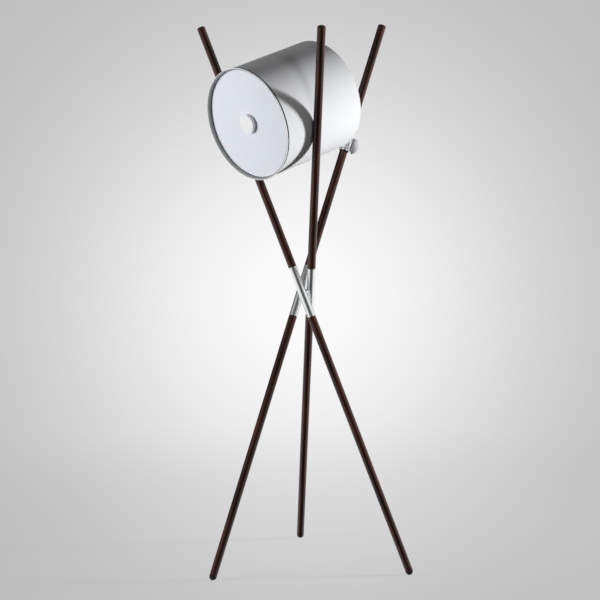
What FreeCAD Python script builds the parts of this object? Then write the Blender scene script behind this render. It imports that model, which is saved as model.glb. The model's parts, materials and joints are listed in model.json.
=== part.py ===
"""Floor lamp: a drum head cradled in a tripod of three straight rods that cross at the waist.

Lengths are millimetres. +Z is up and the drum faces -Y. The drum rests against legs 1 and 2.
A collar that slides on leg 3 carries the drum's tilt pivot and is locked by a domed knob beside the
leg. The model is drawn about the tripod's upright axis, and then moved so that the origin lies on
the floor, under the middle of the whole lamp's box.
"""

import math
import os

import FreeCAD
import Part

# Clearances
rest_gap = 0.5          # drum to the two rods that cradle it
slide_gap = 0.1         # rod to collar liner
bore_gap = 0.05         # pin or screw to its hole, on the radius
face_gap = 0.1          # flat face to flat face
knob_gap = 0.3          # face of a knob to the face it turns against
seat_gap = 0.15         # ring or plate to the tube that it fits in
overrun = 5.0           # how far a cut runs past the face it opens

# Tripod
rod_top_height = 1598.0
waist_height = 822.0
lean_deg = 22.2
rod_radius = 12.0
rod_foot_taper = 0.8    # how much thinner a leg is at its foot, on the radius
rod_end_bevel = 0.6
rod_top_corner = 5.0
rod_top_crown = 1.6
rod_slack = 0.2         # rod end to sleeve end
tip_length = 13.0
tip_cap_radius = 6.2
tip_cap_rise = 3.4
tip_side_radius_share = 0.9
tip_side_length_share = 0.42
tip_spigot_radius = 4.0
tip_spigot_length = 16.0
foot_flat_depth = 0.5

# Waist
waist_gap = 6.38        # between the sleeves where they pass each other
sleeve_length = 156.0
sleeve_bevel = 0.5
stud_radius = 5.0
stud_reach = 34.0
link_radius = 5.0
link_spigot_radius = 2.4
link_spigot_depth = 6.0

# Drum
drum_radius = 164.0
drum_length = 299.5
drum_droop_deg = 14.6
shell_wall = 1.5
rim_height = 2.5        # rim to the shell's side
rim_thickness = 4.0
rim_lip = 1.5
rim_flare = 3.0
rim_joint = 2.0         # rim to the shell's front edge
ring_wall = 1.6
recess_depth = 12.0
seat_thickness = 3.0
gasket_thickness = 1.0
diffuser_thickness = 3.0
diffuser_slack = 0.8
rear_cover_thickness = 2.0
rear_lip_depth = 10.0
rear_lip_wall = 1.5
vent_count = 12
vent_gap = 15.0         # vents to the bracket's upper edge
vent_width = 5.0
vent_length = 26.0

# Inside the drum
chassis_thickness = 2.0
chassis_slack = 0.5
tie_count = 3
tie_radius = 3.0
tie_inset = 6.0         # tie rod's axis to the front ring's bore
tie_start_deg = -90.0
tie_tap_spare = 1.0     # tapped hole past the screw's end
tie_screw_radius = 2.0
tie_screw_length = 12.0
tie_head_radius = 3.9
tie_head_height = 2.2
screw_head_side_share = 0.33
spacer_wall = 2.0
clip_width = 4.0
clip_thickness = 1.2
reflector_wall = 1.0
reflector_gap = 1.4     # reflector to the tie rods
reflector_rear_share = 0.82
holder_count = 3
holder_circle = 62.0
holder_radius = 20.0
holder_floor = 8.0
bulb_cap_radius = 13.2
bulb_cap_length = 37.0
bulb_radius = 30.0
bulb_length = 82.0
bulb_waist_share = 0.62
bulb_cap_clear = 4.0    # cap's end to the holder's floor
bulb_cap_show = 3.0     # how much of the cap stands out of its holder
bulb_gap = 22.0         # globe to diffuser
terminal_width = 34.0
terminal_height = 18.0
terminal_depth = 16.0
terminal_across = 40.0
terminal_up = 34.0

# Knob that holds the diffuser
post_radius = 5.0
post_tail = 12.0
nut_flats = 16.0
nut_height = 6.0
soft_washer_radius = 12.0
soft_washer_thickness = 1.0
front_knob_radius = 27.5
front_knob_thickness = 10.8
front_knob_edge = 1.6
front_knob_web = 3.0

# Cable inlet on the rear cover
gland_across = 95.0
gland_down = 40.0
gland_bore = 3.3
gland_thread_radius = 6.0
gland_thread_length = 12.0
gland_flange_radius = 10.5
gland_flange_height = 6.0
gland_dome_radius = 8.6
gland_mouth_radius = 5.6
gland_dome_height = 14.0
gland_shoulder_share = 0.5
gland_bulge_share = 0.75
gland_nut_flats = 18.0
gland_nut_height = 4.0

# Bracket behind the drum and its pivot
pivot_standoff = 35.0   # pivot to the drum's rear face
pivot_rise = 9.5        # pivot above the drum's lowest line
pivot_radius = 4.0
bracket_width = 56.0
bracket_low = 12.0      # lower edge of the base plate above the drum's lowest line
bracket_high = 76.0
bracket_thickness = 5.0
bracket_corner = 6.0
tongue_width = 12.0
tongue_inset_low = 4.0  # tongue's root to the plate's lower edge
tongue_inset_high = 16.0
knuckle_radius = 10.0
knuckle_gap = 3.5       # knuckle to the collar's sleeve
backing_thickness = 3.0
bracket_screw_edge = 9.0
bracket_screw_inset = 12.0
bracket_screw_radius = 2.5
bracket_screw_head_radius = 4.6
bracket_screw_head_height = 2.8
bracket_screw_length = 14.0

# Collar on leg 3
liner_wall = 1.0
collar_wall = 2.35
collar_below = 17.0
collar_above = 23.0
collar_bevel = 0.8
ear_radius = 11.0
ear_thickness = 5.0
pivot_washer_thickness = 1.0
pivot_washer_radius = 9.5
bolt_head_radius = 6.5
bolt_head_height = 5.0
bolt_socket_flats = 5.2
bolt_socket_depth = 3.0
dome_nut_flats = 13.0
dome_nut_height = 7.0
dome_nut_crown = 4.5
boss_width = 22.0
boss_rise = 4.0         # collar's round side to the boss's flat end
boss_corner = 4.0
clamp_turn_deg = 45.0   # clamp screw, round the leg from straight behind it towards +X
pad_radius = 5.0
pad_thickness = 3.0
clamp_stud_radius = 4.0
clamp_knob_radius = 23.5
clamp_knob_rim = 4.0    # straight side of the knob, below its dome
clamp_knob_thickness = 19.0
clamp_knob_edge = 1.0
clamp_knob_spacing = 1.5
clamp_knob_web = 4.0

X = FreeCAD.Vector(1, 0, 0)
Y = FreeCAD.Vector(0, 1, 0)
Z = FreeCAD.Vector(0, 0, 1)
ORIGIN = FreeCAD.Vector(0, 0, 0)
FULL_TURN_DEG = 360.0
HEX_SIDES = 6
HALVINGS = 60
LEGS = (1, 2, 3)
BESIDE_DRUM = (1, 2)
BEHIND_DRUM = 3
LINKS = ((1, 2), (2, 3), (3, 1))
search_start_deg = 60.0
search_end_deg = 120.0
along_edge_share = 0.9          # an edge counts as lying along an axis from here
lean = math.radians(lean_deg)
droop = math.radians(drum_droop_deg)
drum_axis = Y * math.cos(droop) + Z * math.sin(droop)
drum_up = Z * math.cos(droop) - Y * math.sin(droop)


def unit(vector):
    return vector / vector.Length


def placed(shape, origin, axis, across=X):
    """Carry a shape drawn about local Z to origin, with Z along axis and X as near across as can be."""
    turn = FreeCAD.Rotation(across, axis.cross(across), axis, "ZXY")
    moved = shape.copy()
    moved.Placement = FreeCAD.Placement(origin, turn).multiply(shape.Placement)
    return moved


def turned(start, *steps):
    """Turn a closed outline of (radius, height) points about Z.

    A step of two numbers is a straight line to that point. A step of four numbers is an arc
    through its first point to its second. A step of three numbers is an arc to its last two,
    with its centre on Z at the height of the first.
    """
    edges = []
    here = FreeCAD.Vector(start[0], 0, start[1])
    for step in steps + (start,):
        there = FreeCAD.Vector(step[-2], 0, step[-1])
        if len(step) == 4:
            middle = FreeCAD.Vector(step[0], 0, step[1])
            edges.append(Part.Arc(here, middle, there).toShape())
        elif len(step) == 3:
            edges.append(arc_about_z(here, there, Z * step[0]))
        else:
            edges.append(Part.LineSegment(here, there).toShape())
        here = there
    return Part.Face(Part.Wire(edges)).revolve(ORIGIN, Z, FULL_TURN_DEG)


def arc_about_z(here, there, centre):
    """The short arc from one point to another about a centre on Z, which turns into a ball."""
    for normal in (Y, Y * -1):
        circle = Part.Circle(centre, normal, (here - centre).Length)
        start = circle.parameter(here)
        span = (circle.parameter(there) - start) % (2 * math.pi)
        if span < math.pi:
            return Part.ArcOfCircle(circle, start, start + span).toShape()
    raise ValueError("the two points lie opposite each other")


def cap(radius, base, end):
    """The step of an outline from (radius, base) to (0, end), with its centre on Z."""
    rise = end - base
    ball = (radius * radius + rise * rise) / (2 * rise)
    return (end - ball, 0, end)


def bar(radius, low, high):
    return Part.makeCylinder(radius, high - low, Z * low)


def tube(inner, outer, low, high):
    return turned((inner, low), (outer, low), (outer, high), (inner, high))


def block(width, height, low, high):
    """A box centred on Z, with its width along X and its height along Y."""
    corner = FreeCAD.Vector(-width / 2, -height / 2, low)
    return Part.makeBox(width, height, high - low, corner)


def hexagon(flats, low, high):
    corner = flats / 2 / math.cos(math.pi / HEX_SIDES)
    points = [point + Z * low for point in around(HEX_SIDES, corner)]
    return Part.Face(Part.makePolygon(points + points[:1])).extrude(Z * (high - low))


def obround(length, width, low, high):
    """A slot with round ends, its length along X."""
    straight = length - width
    ends = [bar(width / 2, low, high).translated(X * side * straight / 2) for side in (-1, 1)]
    return block(straight, width, low, high).fuse(ends).removeSplitter()


def edges_along(shape, axis):
    return [edge for edge in shape.Edges
            if abs(edge.tangentAt(edge.FirstParameter).dot(axis)) > along_edge_share]


def around(count, radius, start_deg=0.0):
    """Places on a circle about local Z."""
    for number in range(count):
        angle = math.radians(start_deg + FULL_TURN_DEG * number / count)
        yield X * radius * math.cos(angle) + Y * radius * math.sin(angle)


# Where everything stands

sleeve_radius = rod_radius
rod_foot_radius = rod_radius - rod_foot_taper
liner_bore = rod_radius + slide_gap
liner_radius = liner_bore + liner_wall
collar_bore = liner_radius + bore_gap
collar_radius = collar_bore + collar_wall
pivot_reach = collar_radius + knuckle_gap + knuckle_radius


def offset_at_waist():
    """How far a leg's axis passes from the tripod's axis, so that the sleeves clear each other.

    Three lines that lean alike, a third of a turn apart, each pass the tripod's axis at this offset
    and each other at a fixed multiple of it, which depends on the lean alone.
    """
    multiple = math.sqrt(3) / math.sqrt(1 + (math.tan(lean) / 2) ** 2)
    return (2 * sleeve_radius + waist_gap) / multiple


leg_offset = offset_at_waist()


def leg_line(leg, azimuth):
    """A leg's axis: its point at waist height and its unit direction, leaning towards its azimuth."""
    angle = azimuth + (leg - BEHIND_DRUM) * 2 * math.pi / len(LEGS)
    outward = X * math.cos(angle) + Y * math.sin(angle)
    sideways = Y * math.cos(angle) - X * math.sin(angle)
    point = Z * waist_height + sideways * leg_offset
    return point, unit(outward * math.sin(lean) + Z * math.cos(lean))


def drum_line(azimuth):
    """The point of the drum's axis over y = 0, where the drum rests on legs 1 and 2.

    The drum's axis lies one drum radius, one rod radius and the gap away from both leg axes.
    Along the common normal of a leg and the drum this is one linear equation in x and z.
    """
    rows = []
    for leg in BESIDE_DRUM:
        point, direction = leg_line(leg, azimuth)
        normal = unit(direction.cross(drum_axis))
        if normal.z < 0:
            normal = normal * -1
        rows.append((normal.x, normal.z, drum_radius + rod_radius + rest_gap + normal.dot(point)))
    (a, b, p), (c, d, q) = rows
    bottom = a * d - b * c
    return FreeCAD.Vector((p * d - b * q) / bottom, 0, (a * q - c * p) / bottom)


def collar_place(azimuth, axis_point):
    """The collar's centre on leg 3 and the pivot in front of it, at its height under the drum's axis."""
    point, direction = leg_line(BEHIND_DRUM, azimuth)
    forward = unit(X.cross(direction))
    start = point + forward * pivot_reach - axis_point
    travel = (pivot_rise - drum_radius - start.dot(drum_up)) / direction.dot(drum_up)
    centre = point + direction * travel
    return centre, centre + forward * pivot_reach, direction, forward


def leg_three_azimuth():
    """Turn the tripod until leg 3 stands straight behind the drum at the collar, by halving."""
    low, high = math.radians(search_start_deg), math.radians(search_end_deg)
    for _ in range(HALVINGS):
        middle = (low + high) / 2
        axis_point = drum_line(middle)
        centre = collar_place(middle, axis_point)[0]
        if centre.x > axis_point.x:
            low = middle
        else:
            high = middle
    return (low + high) / 2


azimuth = leg_three_azimuth()
axis_point = drum_line(azimuth)
collar_centre, pivot, leg_three, forward = collar_place(azimuth, axis_point)
collar_across = leg_three.cross(forward)
clamp_centre = collar_centre + leg_three * (collar_above - collar_below) / 2
rearward = forward * -1
clamp_turn = math.radians(clamp_turn_deg)
clamp_out = rearward * math.cos(clamp_turn) + collar_across * math.sin(clamp_turn)
clamp_across = leg_three.cross(clamp_out)
rear_face = (pivot - axis_point).dot(drum_axis) - pivot_standoff
front_centre = axis_point + drum_axis * (rear_face - drum_length)


def in_drum(shape, across=0.0, up=0.0):
    """Carry a shape drawn about Z, with height as depth behind the front rim, to its place in the drum."""
    return placed(shape, front_centre + X * across + drum_up * up, drum_axis)


def on_leg(shape, leg):
    """Carry a shape drawn about Z, with height counted from the waist, to its leg."""
    point, direction = leg_line(leg, azimuth)
    return placed(shape, point, direction)


# Tripod

sleeve_end = sleeve_length / 2
top_station = (rod_top_height - waist_height) / math.cos(lean)


def foot_tip():
    """A bullet-shaped tip about Z, with its joint face at height 0 and a spigot above it."""
    cap_base = tip_cap_rise - tip_length
    side = (rod_foot_radius * tip_side_radius_share, -tip_length * tip_side_length_share)
    nose = turned((0, 0), (rod_foot_radius, 0), side + (tip_cap_radius, cap_base),
                  cap(tip_cap_radius, cap_base, -tip_length))
    return nose.fuse(bar(tip_spigot_radius, 0, tip_spigot_length)).removeSplitter()


def tip_station():
    """Where the tip's joint face lies along the leg, so that its lowest point just passes the floor."""
    leaning = placed(foot_tip(), ORIGIN, Z * math.cos(lean) + Y * math.sin(lean))
    drop = -leaning.optimalBoundingBox(False, False).ZMin
    return (drop - foot_flat_depth - waist_height) / math.cos(lean)


foot_station = tip_station()


def stud_hole(face, side):
    """The blind hole for a stud, opening at face and running to side (1 up, -1 down)."""
    ends = sorted((face - side * overrun, face + side * (stud_reach + face_gap)))
    return bar(stud_radius + bore_gap, *ends)


def upper_rod(leg):
    low, high = sleeve_end + rod_slack, top_station
    corner = rod_top_corner * math.sqrt(0.5)
    flat = rod_radius - rod_top_corner
    shoulder = high - rod_top_crown - rod_top_corner
    body = turned(
        (0, low),
        (rod_radius - rod_end_bevel, low),
        (rod_radius, low + rod_end_bevel),
        (rod_radius, shoulder),
        (flat + corner, shoulder + corner, flat, high - rod_top_crown),
        cap(flat, high - rod_top_crown, high),
    )
    return on_leg(body.cut(stud_hole(low, 1)), leg)


def lower_rod(leg):
    high, low = -sleeve_end - rod_slack, foot_station + face_gap
    body = turned(
        (0, low),
        (rod_foot_radius, low),
        (rod_radius, high - rod_end_bevel),
        (rod_radius - rod_end_bevel, high),
        (0, high),
    )
    spigot_hole = bar(tip_spigot_radius + bore_gap, low - overrun, low + tip_spigot_length)
    return on_leg(body.cut([stud_hole(high, -1), spigot_hole]), leg)


def tip(leg):
    floor = Part.makeBox(2 * tip_length, 2 * tip_length, tip_length)
    shape = on_leg(foot_tip().translated(Z * foot_station), leg)
    middle = shape.BoundBox.Center
    floor.translate(FreeCAD.Vector(middle.x - tip_length, middle.y - tip_length, -tip_length))
    return shape.cut(floor)


def link_line(first, second):
    """The closest points of two leg axes, the ends of the link that joins their sleeves."""
    a, along_a = leg_line(first, azimuth)
    b, along_b = leg_line(second, azimuth)
    across = b - a
    lean_dot = along_a.dot(along_b)
    bottom = 1 - lean_dot * lean_dot
    on_a = (across.dot(along_a) - lean_dot * across.dot(along_b)) / bottom
    on_b = (lean_dot * across.dot(along_a) - across.dot(along_b)) / bottom
    return a + along_a * on_a, b + along_b * on_b


def waist_sleeve(leg):
    body = turned(
        (0, -sleeve_end),
        (sleeve_radius - sleeve_bevel, -sleeve_end),
        (sleeve_radius, -sleeve_end + sleeve_bevel),
        (sleeve_radius, sleeve_end - sleeve_bevel),
        (sleeve_radius - sleeve_bevel, sleeve_end),
        (0, sleeve_end),
    )
    body = on_leg(body.cut([stud_hole(-sleeve_end, 1), stud_hole(sleeve_end, -1)]), leg)
    for pair in LINKS:
        if leg in pair:
            near, far = link_line(*pair) if pair[0] == leg else reversed(link_line(*pair))
            hole = bar(link_spigot_radius + bore_gap, sleeve_radius - link_spigot_depth - face_gap,
                       sleeve_radius + overrun)
            body = body.cut(placed(hole, near, unit(far - near), Z))
    return body


def waist_link(pair):
    """A spacer that is hollowed to sit between two sleeves, with a spigot in each."""
    near, far = link_line(*pair)
    length = (far - near).Length
    spacer = placed(bar(link_radius, 0, length), near, unit(far - near), Z)
    for leg in pair:
        spacer = spacer.cut(on_leg(bar(sleeve_radius + bore_gap, -sleeve_end, sleeve_end), leg))
    buried = sleeve_radius - link_spigot_depth
    spigot = placed(bar(link_spigot_radius, buried, length - buried), near, unit(far - near), Z)
    return spacer.fuse(spigot)


def rod_studs():
    """Six studs, each half in a rod and half in a sleeve."""
    half = bar(stud_radius, -stud_reach + face_gap, stud_reach - face_gap)
    return [on_leg(half.translated(Z * side * (sleeve_end + rod_slack / 2)), leg)
            for leg in LEGS for side in (-1, 1)]


# Drum, with heights counted as depth behind the front rim

shell_bore = drum_radius - shell_wall
ring_radius = shell_bore - seat_gap
ring_bore = ring_radius - ring_wall
diffuser_rear = recess_depth + diffuser_thickness
seat_front = diffuser_rear + gasket_thickness
seat_rear = seat_front + seat_thickness
seat_bore = ring_bore - 2 * tie_inset
cover_front = drum_length - rear_cover_thickness
tie_circle = ring_bore - tie_inset
bulb_neck = diffuser_rear + bulb_gap + bulb_length
bulb_foot = bulb_neck + bulb_cap_length
chassis_depth = bulb_foot + bulb_cap_clear + holder_floor
chassis_rear = chassis_depth + chassis_thickness
vent_radius = drum_radius - bracket_high - vent_gap - vent_length / 2
bracket_middle_up = (bracket_low + bracket_high) / 2 - drum_radius


def tie_places():
    return list(around(tie_count, tie_circle, tie_start_deg))


def copies(shape, places):
    return [shape.translated(place) for place in places]


def bracket_screw_places():
    half = (bracket_high - bracket_low) / 2 - bracket_screw_inset
    across = bracket_width / 2 - bracket_screw_edge
    return [X * side * across - Y * (bracket_middle_up + level * half)
            for side in (-1, 1) for level in (-1, 1)]


def drum_shell():
    return in_drum(tube(shell_bore, drum_radius, rim_thickness + rim_joint, cover_front))


def front_ring():
    """The drum's bright rim, proud of the shell, and the seat behind it that the diffuser rests on."""
    rim_radius = drum_radius + rim_height
    body = turned(
        (ring_bore, rim_flare),
        (rim_radius - rim_lip, 0),
        (rim_radius, 0),
        (rim_radius, rim_thickness),
        (ring_radius, rim_thickness),
        (ring_radius, seat_rear),
        (seat_bore, seat_rear),
        (seat_bore, seat_front),
        (ring_bore, seat_front),
    )
    cone = turned((0, seat_front), (tie_head_radius + bore_gap, seat_front),
                  (tie_screw_radius + bore_gap, seat_front + tie_head_height),
                  (tie_screw_radius + bore_gap, seat_rear + overrun), (0, seat_rear + overrun))
    return in_drum(body.cut(copies(cone, tie_places())))


def diffuser_disc():
    hole = post_radius + bore_gap
    return in_drum(tube(hole, ring_bore - diffuser_slack, recess_depth, diffuser_rear - face_gap))


def diffuser_gasket():
    return in_drum(tube(seat_bore, ring_bore - diffuser_slack, diffuser_rear, seat_front - face_gap))


def rear_cover():
    lip_radius = shell_bore - seat_gap
    body = tube(lip_radius - rear_lip_wall, lip_radius, cover_front - rear_lip_depth, drum_length)
    body = body.fuse(bar(drum_radius, cover_front, drum_length)).removeSplitter()
    low, high = cover_front - overrun, drum_length + overrun
    holes = copies(bar(tie_screw_radius + bore_gap, low, high), tie_places())
    holes += copies(bar(bracket_screw_radius + bore_gap, low, high), bracket_screw_places())
    holes.append(bar(gland_thread_radius + bore_gap, low, high).translated(
        X * -gland_across + Y * gland_down))
    slot = obround(vent_length, vent_width, low, high).translated(X * vent_radius)
    for number in range(vent_count):
        turned_slot = slot.copy()
        turned_slot.rotate(ORIGIN, Z, FULL_TURN_DEG * (number + 0.5) / vent_count)
        holes.append(turned_slot)
    return in_drum(body.cut(holes))


def tie_rods():
    body = bar(tie_radius, seat_rear + face_gap, cover_front - face_gap)
    hole = tie_screw_radius + bore_gap
    depth = tie_screw_length + tie_tap_spare
    body = body.cut([bar(hole, seat_rear - overrun, seat_rear + depth),
                     bar(hole, cover_front - depth, cover_front + overrun)])
    return [in_drum(each) for each in copies(body, tie_places())]


def tie_screws_front():
    """Countersunk screws, flush in the seat and hidden by the gasket."""
    tail = seat_front + tie_screw_length
    body = turned((0, seat_front), (tie_head_radius, seat_front),
                  (tie_screw_radius, seat_front + tie_head_height), (tie_screw_radius, tail), (0, tail))
    return [in_drum(each) for each in copies(body, tie_places())]


def button_screw(radius, head_radius, head_height, length):
    """A screw about Z that points down, with its domed head standing on height 0."""
    edge = head_height * screw_head_side_share
    return turned((0, -length), (radius, -length), (radius, 0), (head_radius, 0), (head_radius, edge),
                  cap(head_radius, edge, head_height))


def tie_screws_rear():
    body = button_screw(tie_screw_radius, tie_head_radius, tie_head_height, tie_screw_length)
    body.translate(Z * (drum_length + face_gap))
    return [in_drum(each) for each in copies(body, tie_places())]


def chassis_plate():
    body = bar(shell_bore - chassis_slack, chassis_depth, chassis_rear)
    low, high = chassis_depth - overrun, chassis_rear + overrun
    holes = copies(bar(tie_radius + bore_gap, low, high), tie_places())
    holes.append(bar(post_radius + bore_gap, low, high))
    return in_drum(body.cut(holes))


def chassis_spacers():
    inner = tie_radius + bore_gap
    body = tube(inner, inner + spacer_wall, chassis_rear + face_gap, cover_front - face_gap)
    return [in_drum(each) for each in copies(body, tie_places())]


def chassis_clips():
    inner = tie_radius + bore_gap
    high = chassis_depth - face_gap
    body = tube(inner, inner + clip_width, high - clip_thickness, high)
    return [in_drum(each) for each in copies(body, tie_places())]


def reflector():
    """A cone that narrows from the diffuser's seat to the chassis plate."""
    low, high = seat_rear + face_gap, chassis_depth - face_gap
    wide = tie_circle - tie_radius - reflector_gap
    narrow = wide * reflector_rear_share
    return in_drum(turned((wide - reflector_wall, low), (wide, low),
                          (narrow, high), (narrow - reflector_wall, high)))


def lamp_holders():
    front = bulb_neck + bulb_cap_show
    body = bar(holder_radius, front, chassis_depth - face_gap)
    bore = bar(bulb_cap_radius + seat_gap, front - overrun, chassis_depth - holder_floor)
    body = body.cut(bore)
    return [in_drum(each) for each in copies(body, around(holder_count, holder_circle))]


def lamp_bulbs():
    """Globe lamps about Z that point to the diffuser, with their caps inside the holders."""
    shoulder = bulb_neck - bulb_length + bulb_radius
    waist = bulb_cap_radius + (bulb_radius - bulb_cap_radius) * bulb_waist_share
    body = turned(
        (0, bulb_foot), (bulb_cap_radius, bulb_foot), (bulb_cap_radius, bulb_neck),
        (waist, (bulb_neck + shoulder) / 2, bulb_radius, shoulder),
        cap(bulb_radius, shoulder, shoulder - bulb_radius),
    )
    return [in_drum(each) for each in copies(body, around(holder_count, holder_circle))]


def terminal_block():
    body = block(terminal_width, terminal_height, chassis_rear + face_gap, chassis_rear + terminal_depth)
    return in_drum(body, terminal_across, terminal_up)


knob_rear = recess_depth - 2 * face_gap - soft_washer_thickness - knob_gap
knob_front = knob_rear - front_knob_thickness


def centre_post():
    return in_drum(bar(post_radius, knob_front + front_knob_web + knob_gap, chassis_rear + post_tail))


def post_nuts():
    """One nut behind the diffuser's rear washer, and one on each side of the chassis plate."""
    behind = diffuser_rear + soft_washer_thickness + face_gap
    lows = (behind, chassis_depth - nut_height - face_gap, chassis_rear + face_gap)
    hole = post_radius + bore_gap
    return [in_drum(hexagon(nut_flats, low, low + nut_height).cut(bar(hole, low, low + nut_height)))
            for low in lows]


def knob_washers():
    hole = post_radius + bore_gap
    lows = (recess_depth - face_gap - soft_washer_thickness, diffuser_rear)
    return [in_drum(tube(hole, soft_washer_radius, low, low + soft_washer_thickness)) for low in lows]


def diffuser_knob():
    edge = front_knob_edge
    inner = front_knob_radius - edge
    corner = edge * math.sqrt(0.5)
    body = turned(
        (0, knob_front), (inner, knob_front),
        (inner + corner, knob_front + edge - corner, front_knob_radius, knob_front + edge),
        (front_knob_radius, knob_rear), (0, knob_rear),
    )
    hole = bar(post_radius + bore_gap, knob_front + front_knob_web, knob_rear + overrun)
    return in_drum(body.cut(hole))


def cable_gland():
    """The inlet for the mains lead: a flanged body, a domed nut and a thread through the cover."""
    low = cover_front - gland_thread_length
    base = drum_length + face_gap
    flange = base + gland_flange_height
    mouth = flange + gland_dome_height
    shoulder = flange + gland_dome_height * gland_shoulder_share
    bulge = gland_mouth_radius + (gland_dome_radius - gland_mouth_radius) * gland_bulge_share
    return in_drum(turned(
        (gland_bore, low), (gland_thread_radius, low), (gland_thread_radius, base),
        (gland_flange_radius, base), (gland_flange_radius, flange), (gland_dome_radius, flange),
        (gland_dome_radius, shoulder),
        (bulge, (shoulder + mouth) / 2, gland_mouth_radius, mouth),
        (gland_bore, mouth),
    ), -gland_across, -gland_down)


def gland_locknut():
    high = cover_front - face_gap
    body = hexagon(gland_nut_flats, high - gland_nut_height, high)
    hole = bar(gland_thread_radius + bore_gap, high - gland_nut_height - overrun, high + overrun)
    return in_drum(body.cut(hole), -gland_across, -gland_down)


# Bracket on the drum

def bracket_plate(low, high, holes=True):
    body = block(bracket_width, bracket_high - bracket_low, low, high)
    body = body.makeFillet(bracket_corner, edges_along(body, Z))
    body.translate(Y * -bracket_middle_up)
    hole = bar(bracket_screw_radius + bore_gap, low - overrun, high + overrun)
    return body.cut(copies(hole, bracket_screw_places())) if holes else body


def head_bracket():
    """A base plate on the rear cover, with a tongue that runs back to the pivot."""
    base_low = drum_length + face_gap
    plate = in_drum(bracket_plate(base_low, base_low + bracket_thickness))
    root = front_centre + drum_axis * (base_low + bracket_thickness / 2) - drum_up * drum_radius
    root_low = root + drum_up * (bracket_low + tongue_inset_low)
    root_high = root + drum_up * (bracket_high - tongue_inset_high)
    along = unit(pivot - (root_low + root_high) / 2)
    square = X.cross(along)
    if square.dot(drum_up) < 0:
        square = square * -1
    corners = [root_low, root_high, pivot + square * knuckle_radius, pivot - square * knuckle_radius]
    outline = Part.makePolygon([corner - X * tongue_width / 2 for corner in corners + corners[:1]])
    web = Part.Face(outline).extrude(X * tongue_width)
    knuckle = placed(bar(knuckle_radius, -tongue_width / 2, tongue_width / 2), pivot, X, Y)
    hole = placed(bar(pivot_radius + bore_gap, -tongue_width, tongue_width), pivot, X, Y)
    return plate.fuse([web, knuckle]).removeSplitter().cut(hole)


def bracket_backing():
    high = cover_front - face_gap
    return in_drum(bracket_plate(high - backing_thickness, high))


def bracket_screws():
    body = button_screw(bracket_screw_radius, bracket_screw_head_radius, bracket_screw_head_height,
                        bracket_screw_length)
    body.translate(Z * (drum_length + bracket_thickness + 2 * face_gap))
    return [in_drum(each) for each in copies(body, bracket_screw_places())]


# Collar on leg 3, with heights counted along the leg from the pivot's level

ear_inside = tongue_width / 2 + 2 * face_gap + pivot_washer_thickness
ear_outside = ear_inside + ear_thickness
boss_reach = collar_radius + boss_rise
pad_rear = liner_bore + pad_thickness


def on_collar(shape):
    return placed(shape, collar_centre, leg_three, collar_across)


def on_clamp(shape):
    """Carry a shape drawn about Z, with height as distance from the leg's axis, to the clamp screw."""
    return placed(shape, clamp_centre, clamp_out, clamp_across)


def on_pivot(shape):
    return placed(shape, pivot, X, Y)


def leg_collar():
    """A sleeve round the rod, with two ears for the pivot in front and a boss for the clamp screw."""
    ring = turned(
        (0, -collar_below), (collar_radius - collar_bevel, -collar_below),
        (collar_radius, -collar_below + collar_bevel), (collar_radius, collar_above - collar_bevel),
        (collar_radius - collar_bevel, collar_above), (0, collar_above),
    )
    boss = block(boss_width, collar_below + collar_above, 0, boss_reach)
    outer_edges = [edge for edge in edges_along(boss, Y) if edge.CenterOfMass.z > 0]
    body = on_collar(ring).fuse(on_clamp(boss.makeFillet(boss_corner, outer_edges)))
    for side in (-1, 1):
        low, high = sorted((side * ear_inside, side * ear_outside))
        ear = on_pivot(bar(ear_radius, low, high))
        arm = Part.makeBox(high - low, 2 * ear_radius, pivot_reach)
        arm.translate(FreeCAD.Vector(low, -ear_radius, 0))
        arm_turn = FreeCAD.Rotation(X, rearward.cross(X), rearward, "ZXY")
        arm.Placement = FreeCAD.Placement(pivot, arm_turn).multiply(arm.Placement)
        body = body.fuse([ear, arm])
    bore = on_collar(bar(collar_bore, -collar_below - overrun, collar_above + overrun))
    pad_pocket = on_clamp(bar(pad_radius + bore_gap, 0, pad_rear + face_gap))
    stud_bore = on_clamp(bar(clamp_stud_radius + bore_gap, 0, boss_reach + overrun))
    pin_bore = on_pivot(bar(pivot_radius + bore_gap, -ear_outside - overrun, ear_outside + overrun))
    return body.removeSplitter().cut([bore, pad_pocket, stud_bore, pin_bore])


def collar_liner():
    body = on_collar(tube(liner_bore, liner_radius, -collar_below, collar_above))
    return body.cut(on_clamp(bar(pad_radius + bore_gap, 0, pad_rear)))


def clamp_pad():
    return on_clamp(bar(pad_radius, liner_bore, pad_rear))


def clamp_stud():
    high = boss_reach + clamp_knob_spacing + clamp_knob_thickness - clamp_knob_web
    return on_clamp(bar(clamp_stud_radius, pad_rear + face_gap, high - face_gap))


def clamp_knob():
    """A round knob with a short straight side and a domed face, hollow for the stud."""
    low = boss_reach + clamp_knob_spacing
    rim = low + clamp_knob_rim
    high = low + clamp_knob_thickness
    edge = clamp_knob_edge
    inner = clamp_knob_radius - edge
    corner = edge * math.sqrt(0.5)
    body = turned(
        (0, low), (inner, low), (inner + corner, low + edge - corner, clamp_knob_radius, low + edge),
        (clamp_knob_radius, rim), cap(clamp_knob_radius, rim, high),
    )
    return on_clamp(body.cut(bar(clamp_stud_radius + bore_gap, low - overrun, high - clamp_knob_web)))


def pivot_bolt():
    head_face = -ear_outside - face_gap
    tail = ear_outside + dome_nut_height
    head_end = head_face - bolt_head_height
    head = bar(bolt_head_radius, head_end, head_face)
    socket = hexagon(bolt_socket_flats, head_end, head_end + bolt_socket_depth)
    shank = bar(pivot_radius, head_face, tail)
    return on_pivot(head.fuse(shank).removeSplitter().cut(socket))


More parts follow.
